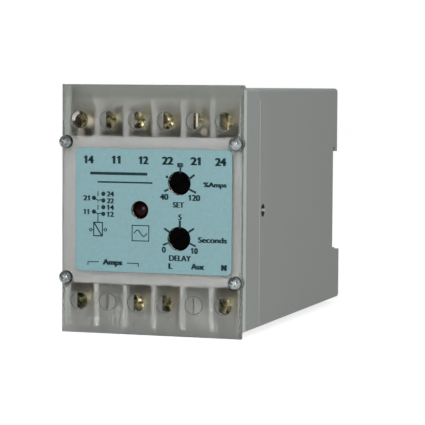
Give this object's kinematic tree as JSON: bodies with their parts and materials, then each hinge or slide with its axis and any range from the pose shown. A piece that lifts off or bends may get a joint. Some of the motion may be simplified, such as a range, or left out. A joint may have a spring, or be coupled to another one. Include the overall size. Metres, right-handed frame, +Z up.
{
  "type": "static relay",
  "caption": "Rail-mounted static relay: grey case, frosted screw-on front cover, two slotted adjusters, a status lamp and screw terminals behind slit windows.",
  "frame": {"origin": "under the middle of the part's box, at the height of the front cover's lower edge", "axes": "+Z up, -Y out of the front cover, +X to the right as seen from the front"},
  "size_m": [0.0604, 0.1188, 0.078],
  "materials": {
    "frosted": "frosted translucent plastic",
    "label": "printed film, satin",
    "zinc": "bright zinc plating",
    "housing": "moulded, satin",
    "block": "moulded, satin",
    "case": "moulded, fine grain",
    "black_plastic": "moulded, satin",
    "spring_steel": "drawn wire",
    "trimmer_blue": "moulded",
    "lamp_red": "clear tinted resin",
    "board": "lacquered laminate",
    "core_steel": "stacked sheet, dark",
    "winding": "wound wire under tape",
    "relay_white": "moulded box",
    "sleeve_blue": "shrunk sleeve",
    "chip_black": "moulded",
    "bar_brass": "plated",
    "clamp_steel": "zinc plating",
    "screw_steel": "yellow zinc plating"
  },
  "bodies": {
    "case": {"front_cover": "frosted", "label": "label", "cover_screws": "zinc", "front_housing": "housing", "upper_terminal_block": "block", "lower_terminal_block": "block", "rear_case": "case", "clip_spring": "spring_steel", "set_trimmer": "trimmer_blue", "delay_trimmer": "trimmer_blue", "status_lamp": "lamp_red", "lamp_spacer": "black_plastic", "adjuster_board": "board", "link_header": "black_plastic", "terminal_board": "board", "power_board": "board", "sensing_board": "board", "transformer_core": "core_steel", "transformer_winding": "winding", "output_relay": "relay_white", "smoothing_capacitor": "sleeve_blue", "rectifier": "chip_black", "current_transformer": "sleeve_blue", "comparator_chip": "chip_black", "timer_chip": "chip_black", "upper_bar_1": "bar_brass", "upper_bar_2": "bar_brass", "upper_bar_3": "bar_brass", "upper_bar_4": "bar_brass", "upper_bar_5": "bar_brass", "upper_bar_6": "bar_brass", "lower_bar_1": "bar_brass", "lower_bar_3": "bar_brass", "lower_bar_4": "bar_brass", "lower_bar_6": "bar_brass"},
    "set_knob": {"set_knob": "black_plastic"},
    "delay_knob": {"delay_knob": "black_plastic"},
    "rail_clip": {"rail_clip": "black_plastic"},
    "upper_clamp_1": {"upper_clamp_1": "clamp_steel"},
    "upper_screw_1": {"upper_screw_1": "screw_steel"},
    "upper_clamp_2": {"upper_clamp_2": "clamp_steel"},
    "upper_screw_2": {"upper_screw_2": "screw_steel"},
    "upper_clamp_3": {"upper_clamp_3": "clamp_steel"},
    "upper_screw_3": {"upper_screw_3": "screw_steel"},
    "upper_clamp_4": {"upper_clamp_4": "clamp_steel"},
    "upper_screw_4": {"upper_screw_4": "screw_steel"},
    "upper_clamp_5": {"upper_clamp_5": "clamp_steel"},
    "upper_screw_5": {"upper_screw_5": "screw_steel"},
    "upper_clamp_6": {"upper_clamp_6": "clamp_steel"},
    "upper_screw_6": {"upper_screw_6": "screw_steel"},
    "lower_clamp_1": {"lower_clamp_1": "clamp_steel"},
    "lower_screw_1": {"lower_screw_1": "screw_steel"},
    "lower_clamp_3": {"lower_clamp_3": "clamp_steel"},
    "lower_screw_3": {"lower_screw_3": "screw_steel"},
    "lower_clamp_4": {"lower_clamp_4": "clamp_steel"},
    "lower_screw_4": {"lower_screw_4": "screw_steel"},
    "lower_clamp_6": {"lower_clamp_6": "clamp_steel"},
    "lower_screw_6": {"lower_screw_6": "screw_steel"}
  },
  "joints": [
    {"name": "set_turn", "type": "hinge", "parent": "case", "child": "set_knob", "pos_m": [0.0091, -0.0561, 0.0477], "axis": [0, 1, 0], "range_deg": [-175, 65]},
    {"name": "delay_turn", "type": "hinge", "parent": "case", "child": "delay_knob", "pos_m": [0.0091, -0.0561, 0.0305], "axis": [0, 1, 0], "range_deg": [-175, 65]},
    {"name": "clip_slide", "type": "slide", "parent": "case", "child": "rail_clip", "axis": [0, 0, -1], "range_m": [0, 0.0025], "stiffness_N_per_m": 2000, "springref_m": -0.001, "deforming": ["clip_spring"]},
    {"name": "upper_1_travel", "type": "slide", "parent": "case", "child": "upper_clamp_1", "axis": [0, 1, 0], "range_m": [0, 0.0024]},
    {"name": "upper_1_turn", "type": "hinge", "parent": "upper_clamp_1", "child": "upper_screw_1", "pos_m": [-0.02365, -0.053, 0.0669], "axis": [0, 1, 0], "range_deg": [0, 1441]},
    {"name": "upper_2_travel", "type": "slide", "parent": "case", "child": "upper_clamp_2", "axis": [0, 1, 0], "range_m": [0, 0.0024]},
    {"name": "upper_2_turn", "type": "hinge", "parent": "upper_clamp_2", "child": "upper_screw_2", "pos_m": [-0.01415, -0.053, 0.0669], "axis": [0, 1, 0], "range_deg": [0, 1441]},
    {"name": "upper_3_travel", "type": "slide", "parent": "case", "child": "upper_clamp_3", "axis": [0, 1, 0], "range_m": [0, 0.0024]},
    {"name": "upper_3_turn", "type": "hinge", "parent": "upper_clamp_3", "child": "upper_screw_3", "pos_m": [-0.00465, -0.053, 0.0669], "axis": [0, 1, 0], "range_deg": [0, 1441]},
    {"name": "upper_4_travel", "type": "slide", "parent": "case", "child": "upper_clamp_4", "axis": [0, 1, 0], "range_m": [0, 0.0024]},
    {"name": "upper_4_turn", "type": "hinge", "parent": "upper_clamp_4", "child": "upper_screw_4", "pos_m": [0.00485, -0.053, 0.0669], "axis": [0, 1, 0], "range_deg": [0, 1441]},
    {"name": "upper_5_travel", "type": "slide", "parent": "case", "child": "upper_clamp_5", "axis": [0, 1, 0], "range_m": [0, 0.0024]},
    {"name": "upper_5_turn", "type": "hinge", "parent": "upper_clamp_5", "child": "upper_screw_5", "pos_m": [0.01435, -0.053, 0.0669], "axis": [0, 1, 0], "range_deg": [0, 1441]},
    {"name": "upper_6_travel", "type": "slide", "parent": "case", "child": "upper_clamp_6", "axis": [0, 1, 0], "range_m": [0, 0.0024]},
    {"name": "upper_6_turn", "type": "hinge", "parent": "upper_clamp_6", "child": "upper_screw_6", "pos_m": [0.02385, -0.053, 0.0669], "axis": [0, 1, 0], "range_deg": [0, 1441]},
    {"name": "lower_1_travel", "type": "slide", "parent": "case", "child": "lower_clamp_1", "axis": [0, 1, 0], "range_m": [0, 0.0024]},
    {"name": "lower_1_turn", "type": "hinge", "parent": "lower_clamp_1", "child": "lower_screw_1", "pos_m": [-0.02365, -0.053, 0.01], "axis": [0, 1, 0], "range_deg": [0, 1441]},
    {"name": "lower_3_travel", "type": "slide", "parent": "case", "child": "lower_clamp_3", "axis": [0, 1, 0], "range_m": [0, 0.0024]},
    {"name": "lower_3_turn", "type": "hinge", "parent": "lower_clamp_3", "child": "lower_screw_3", "pos_m": [-0.00465, -0.053, 0.01], "axis": [0, 1, 0], "range_deg": [0, 1441]},
    {"name": "lower_4_travel", "type": "slide", "parent": "case", "child": "lower_clamp_4", "axis": [0, 1, 0], "range_m": [0, 0.0024]},
    {"name": "lower_4_turn", "type": "hinge", "parent": "lower_clamp_4", "child": "lower_screw_4", "pos_m": [0.00485, -0.053, 0.01], "axis": [0, 1, 0], "range_deg": [0, 1441]},
    {"name": "lower_6_travel", "type": "slide", "parent": "case", "child": "lower_clamp_6", "axis": [0, 1, 0], "range_m": [0, 0.0024]},
    {"name": "lower_6_turn", "type": "hinge", "parent": "lower_clamp_6", "child": "lower_screw_6", "pos_m": [0.02385, -0.053, 0.01], "axis": [0, 1, 0], "range_deg": [0, 1441]}
  ],
  "couplings": [
    {"joint": "upper_1_turn", "follows": "upper_1_travel", "rad_per_m": 10472},
    {"joint": "upper_2_turn", "follows": "upper_2_travel", "rad_per_m": 10472},
    {"joint": "upper_3_turn", "follows": "upper_3_travel", "rad_per_m": 10472},
    {"joint": "upper_4_turn", "follows": "upper_4_travel", "rad_per_m": 10472},
    {"joint": "upper_5_turn", "follows": "upper_5_travel", "rad_per_m": 10472},
    {"joint": "upper_6_turn", "follows": "upper_6_travel", "rad_per_m": 10472},
    {"joint": "lower_1_turn", "follows": "lower_1_travel", "rad_per_m": 10472},
    {"joint": "lower_3_turn", "follows": "lower_3_travel", "rad_per_m": 10472},
    {"joint": "lower_4_turn", "follows": "lower_4_travel", "rad_per_m": 10472},
    {"joint": "lower_6_turn", "follows": "lower_6_travel", "rad_per_m": 10472}
  ]
}
